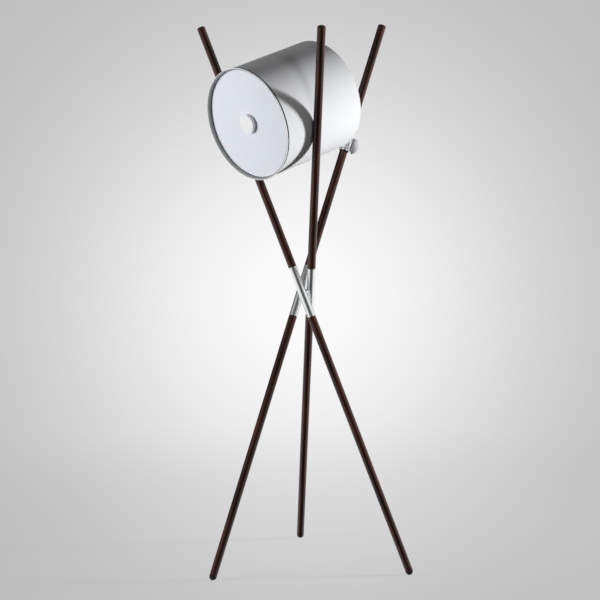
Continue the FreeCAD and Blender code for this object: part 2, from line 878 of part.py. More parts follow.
def pivot_nut():
    low = ear_outside + face_gap
    high = low + dome_nut_height
    half = dome_nut_flats / 2
    crown = turned((0, high), (half, high), cap(half, high, high + dome_nut_crown))
    body = hexagon(dome_nut_flats, low, high).fuse(crown).removeSplitter()
    return on_pivot(body.cut(bar(pivot_radius + bore_gap, low - overrun, high)))


def pivot_washers():
    body = tube(pivot_radius + bore_gap, pivot_washer_radius, 0, pivot_washer_thickness)
    inner = tongue_width / 2 + face_gap
    return [on_pivot(body.translated(Z * low)) for low in (inner, -inner - pivot_washer_thickness)]


def all_nodes():
    nodes = {}
    for leg in LEGS:
        nodes["upper_rod_%d" % leg] = upper_rod(leg)
        nodes["waist_sleeve_%d" % leg] = waist_sleeve(leg)
        nodes["lower_rod_%d" % leg] = lower_rod(leg)
        nodes["foot_tip_%d" % leg] = tip(leg)
    nodes["waist_links"] = [waist_link(pair) for pair in LINKS]
    single_or_group = (
        rod_studs, drum_shell, front_ring, diffuser_disc, diffuser_gasket, rear_cover, tie_rods,
        tie_screws_front, tie_screws_rear, chassis_plate, chassis_spacers, chassis_clips, reflector,
        lamp_holders, lamp_bulbs, terminal_block, centre_post, post_nuts, knob_washers, diffuser_knob,
        cable_gland, gland_locknut, head_bracket, bracket_backing, bracket_screws, leg_collar,
        collar_liner, clamp_pad, clamp_stud, clamp_knob, pivot_bolt, pivot_nut, pivot_washers,
    )
    for make in single_or_group:
        nodes[make.__name__] = make()
    return {name: Part.makeCompound(made) if isinstance(made, list) else made
            for name, made in nodes.items()}


def show(name, place, shift):
    moved = place + shift
    print("%s at %.3f %.3f %.3f" % (name, moved.x, moved.y, moved.z))


def main():
    nodes = all_nodes()
    box = Part.makeCompound(list(nodes.values())).optimalBoundingBox(False, False)
    shift = FreeCAD.Vector(-(box.XMin + box.XMax) / 2, -(box.YMin + box.YMax) / 2, 0)
    os.makedirs("parts", exist_ok=True)
    for name, shape in nodes.items():
        shape.translated(shift).exportStep("parts/%s.step" % name)
    show("tripod axis", ORIGIN, shift)
    show("drum front centre", front_centre, shift)
    show("pivot", pivot, shift)
    show("clamp centre", clamp_centre, shift)
    show("cable inlet mouth", front_centre - X * gland_across - drum_up * gland_down
         + drum_axis * (drum_length + face_gap + gland_flange_height + gland_dome_height), shift)
    for name, direction in (("drum axis", drum_axis), ("leg 3", leg_three), ("clamp", clamp_out)):
        print("%s runs %.6f %.6f %.6f" % (name, direction.x, direction.y, direction.z))
    for leg in LEGS:
        flat = [face for face in nodes["foot_tip_%d" % leg].Faces if abs(face.CenterOfMass.z) < bore_gap
                and face.Surface.TypeId == "Part::GeomPlane"]
        show("foot flat %d" % leg, flat[0].CenterOfMass, shift)
    print("leg 3 leans towards %.2f degrees" % math.degrees(azimuth))
    print("box %.1f by %.1f by %.1f" % (box.XLength, box.YLength, box.ZLength))
    print("%d nodes, %d solids" % (len(nodes), sum(len(shape.Solids) for shape in nodes.values())))
    for name, shape in nodes.items():
        if not shape.isValid():
            print("not valid:", name)


main()
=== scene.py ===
"""The looks of a floor lamp: a satin drum head cradled in three dark wooden rods that cross at the waist.

Everything is in metres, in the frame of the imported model, whose axes and spans place every new piece.
"""

import json
import math

import bmesh
import bpy
import numpy as np
from bpy.props import FloatProperty, FloatVectorProperty, IntProperty, PointerProperty
from mathutils import Matrix, Vector


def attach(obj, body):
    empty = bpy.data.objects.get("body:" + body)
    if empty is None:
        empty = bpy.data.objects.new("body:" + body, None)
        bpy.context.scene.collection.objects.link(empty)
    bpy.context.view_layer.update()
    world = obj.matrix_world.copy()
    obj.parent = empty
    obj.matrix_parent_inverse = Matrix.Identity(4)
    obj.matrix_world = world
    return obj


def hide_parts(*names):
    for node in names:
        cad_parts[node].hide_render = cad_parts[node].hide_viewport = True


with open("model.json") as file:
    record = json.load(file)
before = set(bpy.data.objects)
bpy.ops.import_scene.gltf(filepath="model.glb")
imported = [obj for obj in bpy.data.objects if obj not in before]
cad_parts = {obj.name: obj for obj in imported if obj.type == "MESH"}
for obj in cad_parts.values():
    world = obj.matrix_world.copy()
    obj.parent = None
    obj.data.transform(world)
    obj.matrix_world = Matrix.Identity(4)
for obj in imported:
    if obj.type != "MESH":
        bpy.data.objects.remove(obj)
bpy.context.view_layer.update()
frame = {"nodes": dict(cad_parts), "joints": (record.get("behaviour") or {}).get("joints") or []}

bl_info = {
    "name": "Tripod Drum Lamp",
    "version": (1, 0, 0),
    "blender": (4, 5, 0),
    "location": "View3D > Sidebar > Lamp",
    "description": "Builds the surfaces, finishes and studio of a drum lamp on a wooden tripod",
    "category": "Object",
}

MM = 0.001
NEAR = 0.1 * MM
CLEAR = 1.0 * MM
LEGS = (1, 2, 3)


# Reading the frame

class Line:
    """A straight axis with a square frame of its own: across, as near to +X as can be, side and along."""

    def __init__(self, origin, along):
        self.origin = np.array(origin, float)
        self.along = np.array(along, float) / np.linalg.norm(along)
        across = np.array((1.0, 0.0, 0.0)) - self.along * self.along[0]
        across /= np.linalg.norm(across)
        self.axes = np.array([across, np.cross(self.along, across), self.along])

    def station(self, points):
        """How far along the axis each point lies."""
        return (points - self.origin) @ self.along

    def reach(self, points):
        """How far from the axis each point lies."""
        offset = points - self.origin
        return np.linalg.norm(offset - np.outer(offset @ self.along, self.along), axis=1)

    def local(self, points):
        """Points of the frame as across, side and along."""
        return (points - self.origin) @ self.axes.T

    def placed(self, local):
        """Local points (across, side, along) carried to the frame."""
        return self.origin + local @ self.axes

    def turned(self, local):
        """Local directions carried to the frame."""
        return local @ self.axes


def vertices_of(mesh):
    """The vertices of a mesh as rows of an array."""
    flat = np.empty(3 * len(mesh.vertices))
    mesh.vertices.foreach_get("co", flat)
    return flat.reshape(-1, 3)


def points_of(node):
    """The vertices of a CAD node."""
    return vertices_of(frame["nodes"][node].data)


def long_axis(node):
    """The line through a slender node: its mean point and the direction of its greatest spread, upwards."""
    points = np.unique(points_of(node).round(7), axis=0)
    middle = points.mean(axis=0)
    along = np.linalg.eigh(np.cov((points - middle).T))[1][:, -1]
    return Line(middle, along * np.sign(along[2]))


def span(node, line):
    """The lowest and highest station of a node along a line, and its greatest reach from it."""
    points = points_of(node)
    stations = line.station(points)
    return stations.min(), stations.max(), line.reach(points).max()


def least_reach(node, line):
    """A node's bore: its least reach from a line."""
    return line.reach(points_of(node)).min()


def joint_line(name):
    """The line through a joint's place along its axis."""
    joint = next(each for each in frame["joints"] if each["name"] == name)
    return Line(joint["pos_m"], joint["axis"])


def rim_facts():
    """From the CAD ring: the rim's rear, the collar's radius, the face's inner radius, the chamfer's end."""
    points = points_of("front_ring")
    stations, reaches = DRUM.station(points), DRUM.reach(points)
    rear = stations[reaches > DRUM_RADIUS + CLEAR].max()
    collar = reaches[stations > rear + CLEAR].max()
    face = reaches[stations < stations.min() + NEAR].min()
    return rear, collar, face, stations[reaches < face - CLEAR / 2].min()


LEG_LINES = {leg: long_axis("lower_rod_%d" % leg) for leg in LEGS}
DRUM = joint_line("diffuser_knob_turn")
CLAMP = joint_line("clamp_knob_turn")
ROD_RADIUS = span("upper_rod_3", LEG_LINES[3])[2]
DRUM_START, DRUM_END, DRUM_RADIUS = span("drum_shell", DRUM)
RIM_REAR, RING_COLLAR, RIM_FACE, CHAMFER_END = rim_facts()
TRIPOD_CENTRE = np.mean([line.origin - line.along * line.origin[2] / line.along[2]
                         for line in LEG_LINES.values()], axis=0)


# Settings

def length(label, description, default):
    """A setting in metres."""
    return FloatProperty(name=label, description=description, default=default, min=0.0,
                         unit="LENGTH", precision=5)


def colour(label, description, default):
    """A setting that holds a colour."""
    return FloatVectorProperty(name=label, description=description, default=default, size=3,
                               subtype="COLOR", min=0.0, max=1.0)


def share(label, description, default):
    """A setting that is a part of one, or scales what it is named for."""
    return FloatProperty(name=label, description=description, default=default, min=0.0, max=2.0,
                         subtype="FACTOR")


def in_degrees(label, description, default):
    """A setting that holds an angle."""
    return FloatProperty(name=label, description=description, default=math.radians(default),
                         subtype="ANGLE")


def count(label, description, default, least):
    """A setting that counts faces or rings."""
    return IntProperty(name=label, description=description, default=default, min=least)


def watts(label, default):
    """A setting for the power of a light."""
    description = "Power of the %s light, in watts" % label.lower()
    return FloatProperty(name=label, description=description, default=default)


class LampLegSettings(bpy.types.PropertyGroup):
    sides: count("Sides", "Faces round a rod", 72, 12)
    end_rounding: length("End rounding", "Rounding of the rods' square ends", 0.6 * MM)
    top_corner: length("Top corner", "Rounding between a rod's side and its top", 5.0 * MM)
    top_crown: length("Top crown", "Height of the dome on a rod's top", 1.6 * MM)
    crown_flat: share("Crown flat", "Part of the radius where the dome lies flat", 0.3)
    tip_rings: count("Tip rings", "Rings of faces up a foot's tip", 16, 4)
    sleeve_rounding: length("Sleeve rounding", "Rounding of the sleeves' ends", 0.5 * MM)
    # A black ring under the collar: partly its dark liner, partly painted shade under the collar's mouth
    mouth_ring_wall: length("Scraper wall", "From the collar's liner to the scraper's edge", 1.5 * MM)
    mouth_ring_height: length("Scraper height", "Height of the ring under the collar", 1.8 * MM)
    mouth_ring_gap: length("Scraper gap", "From the rod to the ring under the collar", 0.15 * MM)
    stain_deep: colour("Deep stain", "Colour of the wood's dark streaks", (0.006, 0.002, 0.0012))
    stain_warm: colour("Warm stain", "Colour of the wood between the streaks", (0.10, 0.027, 0.014))
    streak_width: length("Streak width", "Width of one streak of the grain", 3.0 * MM)
    streak_length: length("Streak length", "Length of one streak of the grain", 70.0 * MM)
    pore_width: length("Pore width", "Width of one open pore", 0.5 * MM)
    pore_length: length("Pore length", "Length of one open pore", 14.0 * MM)
    tone_width: length("Tone width", "Width of a lighter or darker stretch", 14.0 * MM)
    tone_length: length("Tone length", "Length of a lighter or darker stretch", 160.0 * MM)
    metal_tint: colour("Metal tint", "Colour of the bright aluminium", (0.90, 0.91, 0.92))
    metal_roughness: share("Metal roughness", "How matt the bright aluminium is", 0.28)


class LampDrumSettings(bpy.types.PropertyGroup):
    sides: count("Sides", "Faces round the drum", 256, 24)
    edge_rounding: length("Edge rounding", "Rounding of the shell's edge behind the seal", 0.3 * MM)
    rim_rounding: length("Rim rounding", "Rounding of the front rim's edges", 1.1 * MM)
    seam_rounding: length("Seam rounding", "Rounding where the rear cover meets the shell", 0.35 * MM)
    shell_tint: colour("Shell tint", "Colour of the blasted aluminium", (0.83, 0.84, 0.86))
    # Painted highlight: the front ring's lip is near white, brighter than the shell, to stand for the
    # highlight along the rim
    ring_tint_and_highlight: colour("Ring tint", "Colour of the front ring", (0.98, 0.985, 0.99))
    # Painted shade: the bore and chamfer in front of the diffuser are dark grey for the shade in the recess
    bore_painted_shade: colour("Bore tint", "Colour of the bore in front of the diffuser", (0.36, 0.37, 0.38))
    shell_roughness: share("Shell roughness", "How matt the blasted aluminium is", 0.6)
    seal_depth: length("Seal depth", "How deep the front seal is let into the shell's side", 0.6 * MM)
    # Painted shade: the seal's lap is wider than the joint, standing for the rim's contact shadow
    seal_and_shade_lap: length("Seal width", "How far the front seal laps over the shell's edge", 4.2 * MM)
    seal_gap: length("Seal gap", "From the front seal to what it lies against", 0.05 * MM)
    disc_gap: length("Disc gap", "From the diffuser's edge to the ring's bore", 0.8 * MM)
    gasket_gap: length("Gasket gap", "From the diffuser's gasket to the ring's seat", 0.1 * MM)
    bore_rounding: length("Bore rounding", "Rounding of the bore's mouth and of the diffuser", 0.5 * MM)
    fine_rounding: length("Fine rounding", "Rounding of the drum's small edges", 0.3 * MM)
    hidden_rounding: length("Hidden rounding", "Rounding of edges inside the drum", 0.2 * MM)
    knob_sides: count("Knob sides", "Faces round a knob", 128, 24)
    knob_crown: length("Knob crown", "Height of the front knob's crown", 0.25 * MM)
    knob_face: share("Knob face", "Part of the front knob's radius that its face takes", 0.78)
    knob_sweep: length("Knob sweep", "Rounding from the front knob's crown to its face", 8.0 * MM)
    knob_edge: length("Knob edge", "Rounding of the front knob's edge", 1.6 * MM)
    knob_foot: length("Knob foot", "Rounding of the front knob's rear edge", 0.4 * MM)
    clamp_edge: length("Clamp edge", "Rounding of the clamp knob's rear edge", 0.9 * MM)
    clamp_shoulder: length("Clamp shoulder", "Rounding between the clamp knob's side and dome", 1.5 * MM)
    clamp_rim: length("Clamp rim", "Height of the clamp knob's straight side", 4.0 * MM)
    dome_rings: count("Dome rings", "Rings of faces up the clamp knob's dome", 20, 4)
    opal_tint: colour("Opal tint", "Colour of the diffuser", (0.765, 0.79, 0.85))
    knob_tint: colour("Knob tint", "Colour of the front knob", (0.86, 0.86, 0.87))
    clamp_tint: colour("Clamp tint", "Colour of the clamp's knob", (0.42, 0.42, 0.44))


class LampStudioSettings(bpy.types.PropertyGroup):
    camera_distance: length("Camera distance", "From the tripod's axis, along the floor", 6.3294)
    camera_height: length("Camera height", "Above the floor", 1.6003)
    camera_azimuth: in_degrees("Camera azimuth", "Round the tripod, from +X", -42.553)
    camera_pan: in_degrees("Camera pan", "Aim to the side of the tripod's axis", -0.122)
    camera_pitch: in_degrees("Camera pitch", "Aim below the horizon", 7.243)
    camera_roll: in_degrees("Camera roll", "Turn about the camera's aim", -0.665)
    lens: FloatProperty(name="Lens", description="Focal length for a 36 mm frame", default=129.77)
    floor_radius: length("Floor radius", "Where the floor has faded out", 2.4)
    floor_fade: length("Floor fade", "Where the floor starts to fade", 0.9)
    floor_drop: length("Floor drop", "From the feet down to the floor", 0.2 * MM)
    floor_glow: share("Floor glow", "How much of the floor's tone no shadow reaches", 0.88)
    backdrop_edge: share("Backdrop edge", "Brightness of the backdrop away from its middle", 0.50)
    backdrop_glow: share("Backdrop glow", "How much brighter the middle of the backdrop is", 0.465)
    backdrop_spread: in_degrees("Backdrop spread", "Size of the bright middle", 6.33)
    light_distance: length("Light distance", "From the drum to the key, the fill and the front light", 2.8)
    key_width: length("Key width", "Width of the key light", 0.35)
    key_height: length("Key height", "Height of the key light", 0.45)
    fill_width: length("Fill width", "Width of the fill light", 1.0)
    fill_height: length("Fill height", "Height of the fill light", 1.8)
    front_size: length("Front size", "Width and height of the front light", 0.5)
    top_size: length("Top size", "Width and depth of the top light", 2.0)
    key_power: watts("Key", 114.0)
    fill_power: watts("Fill", 78.0)
    front_power: watts("Front", 7.0)
    top_power: watts("Top", 1.0)
    ambient: share("Ambient", "Strength of the room's even light", 0.04)


# Shader trees

class Wire:
    """A socket that takes part in Python sums. Each operator adds one Math node."""

    def __init__(self, graph, socket):
        self.graph = graph
        self.socket = socket

    def join(self, operation, first, second=None):
        """A Math node on one or two sockets or numbers."""
        inputs = {"Value": first, "Value_001": second}
        return self.graph.node("ShaderNodeMath", inputs, operation=operation)

    def __add__(self, other):
        return self.join("ADD", self, other)

    def __sub__(self, other):
        return self.join("SUBTRACT", self, other)

    def __rsub__(self, other):
        return self.join("SUBTRACT", other, self)

    def __mul__(self, other):
        return self.join("MULTIPLY", self, other)

    def __truediv__(self, other):
        return self.join("DIVIDE", self, other)

    def __rtruediv__(self, other):
        return self.join("DIVIDE", other, self)

    def __rpow__(self, other):
        return self.join("POWER", other, self)

    __radd__ = __add__
    __rmul__ = __mul__

    def size(self):
        """The value without its sign."""
        return self.join("ABSOLUTE", self)

    def sine(self):
        """The sine of an angle in radians."""
        return self.join("SINE", self)

    def most(self, other):
        """The value, held at other at most."""
        return self.join("MINIMUM", self, other)

    def least(self, other):
        """The value, held at other at least."""
        return self.join("MAXIMUM", self, other)

    def step(self, start, end, low=0.0, high=1.0):
        """A smooth step from low, at start, to high, at end."""
        inputs = {"Value": self, "From Min": start, "From Max": end, "To Min": low, "To Max": high}
        return self.graph.node("ShaderNodeMapRange", inputs, interpolation_type="SMOOTHSTEP")

    def dot(self, direction):
        """The dot product of a vector socket and a fixed direction."""
        return self.graph.vector("DOT_PRODUCT", self, tuple(direction), "Value")


class Graph:
    """The node tree of a material or of the world."""

    def __init__(self, owner):
        owner.use_nodes = True
        self.tree = owner.node_tree
        self.tree.nodes.clear()

    def node(self, kind, inputs=(), output=None, **settings):
        """Add a node: its settings first, and then the values or links of its sockets."""
        node = self.tree.nodes.new(kind)
        for name, value in settings.items():
            setattr(node, name, value)
        sockets = {socket.identifier: socket for socket in node.inputs}
        for name, value in dict(inputs).items():
            if isinstance(value, Wire):
                self.tree.links.new(value.socket, sockets[name])
            elif value is not None:
                sockets[name].default_value = (*value, 1.0) if sockets[name].type == "RGBA" else value
        if not node.outputs:
            return node
        outputs = {socket.identifier: socket for socket in node.outputs}
        return Wire(self, outputs[output] if output else node.outputs[0])

    def vector(self, operation, first, second=None, output=None):
        """A Vector Math node, which gives a vector unless its Value output is asked for."""
        inputs = {"Vector": first, "Vector_001": second}
        return self.node("ShaderNodeVectorMath", inputs, output, operation=operation)

    def object_place(self):
        """The place in the frame, because every piece's object stands at the origin."""
        return self.node("ShaderNodeTexCoord", output="Object")

    def own_place(self):
        """The place that a new piece carries with it: across, side and along its own axis."""
        return self.node("ShaderNodeAttribute", output="Vector", attribute_name="place")

    def ray(self, kind):
        """1 for rays of that kind, such as Camera, and 0 for others."""
        return self.node("ShaderNodeLightPath", output="Is %s Ray" % kind)

    def noise(self, scale, detail=3.0, roughness=0.5, place=None):
        """Noise from 0 to 1, whose scale is one number or three, in lumps per metre."""
        place = place or self.object_place()
        if not np.isscalar(scale):
            place, scale = self.vector("MULTIPLY", place, scale), 1.0
        inputs = {"Vector": place, "Scale": scale, "Detail": detail, "Roughness": roughness}
        return self.node("ShaderNodeTexNoise", inputs)

    def cells(self, scale):
        """The distance to the nearest cell's middle, for scattered cells, so many to the metre."""
        return self.node("ShaderNodeTexVoronoi", {"Vector": self.object_place(), "Scale": scale})

    def blend(self, factor, first, second):
        """A colour between two colours."""
        inputs = {"Factor_Float": factor, "A_Color": first, "B_Color": second}
        return self.node("ShaderNodeMix", inputs, output="Result_Color", data_type="RGBA")

    def bump(self, height, distance):
        """A normal tilted as if a height of 1 rose by that distance."""
        inputs = {"Height": height, "Distance": distance, "Strength": 1.0}
        return self.node("ShaderNodeBump", inputs)

    def mixed(self, factor, first, second):
        """A shader between two shaders."""
        return self.node("ShaderNodeMixShader", {"Fac": factor, "Shader": first, "Shader_001": second})


def surface(name, make):
    """A material whose shader sockets are what make(graph) returns."""
    material = bpy.data.materials.new(name)
    graph = Graph(material)
    shader = graph.node("ShaderNodeBsdfPrincipled", make(graph))
    graph.node("ShaderNodeOutputMaterial", {"Surface": shader})
    return material


# Finishes

# The lamps' screw caps: how far before the holders they start, how sharply, and their thread
CAP_LENGTH = 4.0 * MM
CAP_EDGE = 1.0 * MM
THREAD_PITCH = 3.6 * MM


def stretched(width, run):
    """The scales of a noise whose lumps are as wide and as long as given, along the piece's axis."""
    return (1 / width, 1 / width, 1 / run)


def dimmed(tint, part):
    """A colour with a part of its brightness left."""
    return tuple(part * channel for channel in tint)


def dark_wood(graph):
    """Dark stained ash: long streaks, fine open pores along the rod and slow changes of tone."""
    look = bpy.context.scene.lamp_legs
    place = graph.own_place()
    streaks = graph.noise(stretched(look.streak_width, look.streak_length), 4.0, 0.6, place)
    pores = graph.noise(stretched(look.pore_width, look.pore_length), 2.0, 0.7, place)
    slow = graph.noise(stretched(look.tone_width, look.tone_length), 2.0, place=place)
    tone = (streaks - 0.5) * 1.5 + (slow - 0.5) * 1.2 + 0.42
    open_pore = pores.step(0.56, 0.68)
    shade = graph.blend(tone.step(0.0, 1.0), look.stain_deep, look.stain_warm)
    return {
        "Base Color": graph.blend(open_pore * 0.8, shade, look.stain_deep),
        "Roughness": 0.34 + (streaks - 0.5) * 0.16 + open_pore * 0.12,
        "Specular IOR Level": 0.1,
        "Coat Weight": 0.6 - open_pore * 0.3,
        "Coat Roughness": 0.18,
        "Sheen Weight": 0.6,
        "Sheen Roughness": 0.25,
        "Sheen Tint": (1.0, 0.62, 0.52),
        "Normal": graph.bump(streaks * 0.5 - open_pore, 0.06 * MM),
    }


def bare_aluminium(graph, grain, depth, place=None):
    """Bright aluminium with a fine grain and a slow, faint change of polish, as from handling."""
    look = bpy.context.scene.lamp_legs
    fine = graph.noise(grain, 2.0, place=place)
    slow = graph.noise(14.0, 2.0)
    return {
        "Base Color": graph.blend((slow - 0.5) * 0.3 + 0.15, look.metal_tint, dimmed(look.metal_tint, 0.86)),
        "Metallic": 1.0,
        "Roughness": look.metal_roughness + (fine - 0.5) * 0.08 + (slow - 0.5) * 0.05,
        "Normal": graph.bump(fine, depth),
    }


def satin_drum(graph):
    """Aluminium blasted with glass beads and anodised: matt, with the beads' fine dimples.

    Its shader is diffuse, because a metallic one mirrors the tent and loses the rods' soft shadows.
    """
    look = bpy.context.scene.lamp_drum
    dimples = graph.cells(1500.0)
    slow = graph.noise(9.0)
    handled = graph.noise(45.0, 4.0, 0.6)
    marks = slow.step(0.3, 0.7) * 0.25 + handled.step(0.45, 0.8) * 0.15
    return {
        "Base Color": graph.blend(marks, look.shell_tint, dimmed(look.shell_tint, 0.93)),
        "Roughness": look.shell_roughness + (slow - 0.5) * 0.1 + (dimples - 0.5) * 0.06,
        "Specular IOR Level": 0.08,
        "Normal": graph.bump(dimples, 0.02 * MM),
    }


def bright_aluminium(graph):
    """Bright aluminium with a grain that runs no way."""
    return bare_aluminium(graph, 1500.0, 0.004 * MM)


def turned_aluminium(graph):
    """Bright aluminium with the fine rings of the lathe round its axis."""
    return bare_aluminium(graph, stretched(20 * MM, 0.35 * MM), 0.003 * MM, graph.own_place())


def lip_ring(graph):
    """A lip painted near white for the rim's highlight, under a clear coat, round a chamfer and bore painted
    dark grey for the shade in the recess, faintly ringed from the lathe.
    """
    look = bpy.context.scene.lamp_drum
    place = graph.own_place()
    rings = graph.noise(stretched(60 * MM, 0.3 * MM), 2.0, place=place)
    radius = graph.vector("LENGTH", graph.vector("MULTIPLY", place, (1, 1, 0)), output="Value")
    # The lip (near white, painted highlight) against the bore (dark grey, painted shade, with the lathe's
    # faint rings)
    lip = radius.step(RIM_FACE - 2 * NEAR, RIM_FACE + NEAR)
    turned = graph.blend(rings * 0.35, look.bore_painted_shade, dimmed(look.bore_painted_shade, 0.4))
    return {
        "Base Color": graph.blend(lip, turned, look.ring_tint_and_highlight),
        "Roughness": look.shell_roughness + (rings - 0.5) * 0.08,
        "Specular IOR Level": 0.15,
        "Coat Weight": lip,
        "Coat Roughness": 0.2,
        "Normal": graph.bump(rings, 0.004 * MM),
    }


def opal_diffuser(graph):
    """Opal acrylic with a fine matt grain."""
    look = bpy.context.scene.lamp_drum
    fine = graph.noise(2200.0, 2.0)
    slow = graph.noise(7.0, 2.0)
    return {
        "Base Color": graph.blend(slow.step(0.3, 0.7) * 0.35, look.opal_tint, dimmed(look.opal_tint, 0.95)),
        "Roughness": 0.48 + (fine - 0.5) * 0.12,
        "Subsurface Weight": 0.15,
        "Subsurface Scale": 4 * MM,
        "Normal": graph.bump(fine, 0.01 * MM),
    }


def painted(graph, tint, roughness, scale, depth, shine=0.5):
    """Sprayed paint with an orange-peel skin."""
    skin = graph.noise(scale, 2.0)
    slow = graph.noise(22.0)
    return {
        "Base Color": graph.blend(slow.step(0.35, 0.75) * 0.3, tint, dimmed(tint, 0.9)),
        "Roughness": roughness + (slow - 0.5) * 0.1,
        "Specular IOR Level": shine,
        "Coat Weight": 0.3 * shine + (slow - 0.5) * 0.1,
        "Coat Roughness": 0.3,
        "Normal": graph.bump(skin, depth),
    }


def white_knob(graph):
    """White paint, fairly smooth."""
    return painted(graph, bpy.context.scene.lamp_drum.knob_tint, 0.36, 900.0, 0.01 * MM)


def grey_knob(graph):
    """Matt grey paint."""
    return painted(graph, bpy.context.scene.lamp_drum.clamp_tint, 0.5, 1100.0, 0.012 * MM, 0.1)


def white_paint(graph):
    """The white inside the drum."""
    return painted(graph, (0.82, 0.82, 0.80), 0.42, 600.0, 0.03 * MM)


def bracket_paint(graph):
    """Silver grey paint."""
    return painted(graph, (0.55, 0.56, 0.58), 0.40, 1300.0, 0.03 * MM)


def black_rubber(graph):
    """Matt rubber, faintly dusty where it is raised."""
    grain = graph.noise(900.0, 4.0, 0.7)
    dust = graph.noise(120.0)
    return {
        "Base Color": graph.blend(dust.step(0.5, 0.9) * 0.5, (0.010, 0.009, 0.009), (0.045, 0.042, 0.04)),
        "Roughness": 0.62 + (grain - 0.5) * 0.2,
        "Normal": graph.bump(grain, 0.03 * MM),
    }


def black_nylon(graph):
    """Moulded nylon with a spark-eroded texture."""
    spark = graph.cells(1400.0)
    tone = graph.noise(60.0)
    return {
        "Base Color": graph.blend(tone, (0.012, 0.012, 0.013), (0.028, 0.028, 0.030)),
        "Roughness": 0.46 + spark * 0.2,
        "Normal": graph.bump(spark, 0.02 * MM),
    }


def steel(graph):
    """Zinc-plated steel: patches of crystals, each with a polish of its own."""
    crystals = graph.cells(320.0)
    patches = graph.noise(70.0)
    return {
        "Base Color": graph.blend(patches, (0.50, 0.51, 0.53), (0.68, 0.68, 0.69)),
        "Metallic": 1.0,
        "Roughness": 0.24 + crystals * 0.22 + (patches - 0.5) * 0.1,
        "Normal": graph.bump(crystals, 0.01 * MM),
    }


def brass(graph):
    """Brass with patches of tarnish."""
    tarnish = graph.noise(90.0, 4.0, 0.6)
    return {
        "Base Color": graph.blend(tarnish.step(0.4, 0.8), (0.78, 0.57, 0.25), (0.42, 0.28, 0.12)),
        "Metallic": 1.0,
        "Roughness": 0.22 + tarnish * 0.25,
        "Normal": graph.bump(tarnish, 0.008 * MM),
    }


def holder_plastic(graph):
    """Cream heat-proof plastic with fine mineral specks."""
    specks = graph.noise(1600.0, 2.0).step(0.62, 0.72)
    slow = graph.noise(35.0, 2.0)
    shade = graph.blend(slow, (0.72, 0.70, 0.64), (0.80, 0.79, 0.74))
    return {
        "Base Color": graph.blend(specks * 0.5, shade, (0.45, 0.43, 0.38)),
        "Roughness": 0.4 + (slow - 0.5) * 0.15,
        "Normal": graph.bump(specks, 0.01 * MM),
    }


def bulb_glass(graph):
    """Frosted glass, with its screw cap in ribbed bare metal behind the neck."""
    depth = graph.object_place().dot(DRUM.along) - float(DRUM.origin @ DRUM.along)
    neck = span("lamp_holders", DRUM)[0] - CAP_LENGTH
    cap = depth.step(neck, neck + CAP_EDGE)
    thread = (depth * (2 * math.pi / THREAD_PITCH)).sine()
    frost = graph.noise(1500.0, 2.0)
    return {
        "Base Color": graph.blend(cap, (0.88, 0.88, 0.86), (0.62, 0.60, 0.55)),
        "Metallic": cap,
        "Roughness": 0.4 + (frost - 0.5) * 0.1 - cap * 0.1,
        "Normal": graph.bump(thread * cap + frost * 0.05, 0.3 * MM),
    }


FINISHES = {make.__name__: make for make in (
    dark_wood, bright_aluminium, turned_aluminium, satin_drum, lip_ring, opal_diffuser, white_knob,
    grey_knob, white_paint, bracket_paint, black_rubber, black_nylon, steel, brass, holder_plastic,
    bulb_glass)}


def finish(name):
    """The material of that name, made the first time it is asked for."""
    label = "finish_" + name
    return bpy.data.materials.get(label) or surface(label, FINISHES[name])


# Surfaces

# The turn of one face along an arc, the least turn of a sharp edge and of an edge to bevel,
# the most turn of a flat one, and how near two points merge
ARC_STEP = math.radians(12)
CREASE = math.radians(30)
BEVEL_CREASE = math.radians(35)
FLAT = math.radians(0.5)
MERGE = 0.002 * MM


def outline(corners, closed):
    """Points and outward normals of an outline of straight runs with rounded corners.

    A corner is (radius, height, rounding). Its arc starts rounding * tan(turn / 2) before the corner,
    and the normals turn evenly along it from one run's to the next's. A left turn bulges outwards.
    """
    corners = np.array(corners, float)
    points, normals = [], []
    for number, (radius, height, rounding) in enumerate(corners):
        here = np.array((radius, height))
        into = here - corners[number - 1, :2]
        away = corners[(number + 1) % len(corners), :2] - here
        if not closed and number == 0:
            into = away
        if not closed and number == len(corners) - 1:
            away = into
        into, away = into / np.linalg.norm(into), away / np.linalg.norm(away)
        turn = math.atan2(into[0] * away[1] - into[1] * away[0], into @ away)
        bulge = math.copysign(1.0, turn)
        steps = max(1, math.ceil(abs(turn) / ARC_STEP)) if rounding else 0
        angle = np.linspace(0.0, turn, steps + 1)
        first = np.array((into[1], -into[0]))
        normal = np.stack((first[0] * np.cos(angle) - first[1] * np.sin(angle),
                           first[0] * np.sin(angle) + first[1] * np.cos(angle)), axis=1)
        start = here - into * rounding * math.tan(abs(turn) / 2)
        centre = start - bulge * first * rounding
        points.append(centre + bulge * normal * rounding)
        normals.append(normal)
    return np.concatenate(points), np.concatenate(normals)


def spun(rows, sides):
    """Rows of (r, h) carried round the full turn t: x = r cos t, y = r sin t and z = h."""
    turn = np.arange(sides) * 2 * math.pi / sides
    radius, height = rows[:, :1], np.repeat(rows[:, 1:], sides, axis=1)
    return np.stack((radius * np.cos(turn), radius * np.sin(turn), height), axis=2)


def bands(below, above):
    """Four-sided faces between closed rings and those above them."""
    faces = np.stack((below, np.roll(below, -1, 1), np.roll(above, -1, 1), above), axis=2)
    return faces.reshape(-1, 4).tolist()


def fan(pole, ring):
    """Three-sided faces from a pole to a closed ring."""
    return np.stack((np.full(len(ring), pole), ring, np.roll(ring, -1)), axis=1).tolist()


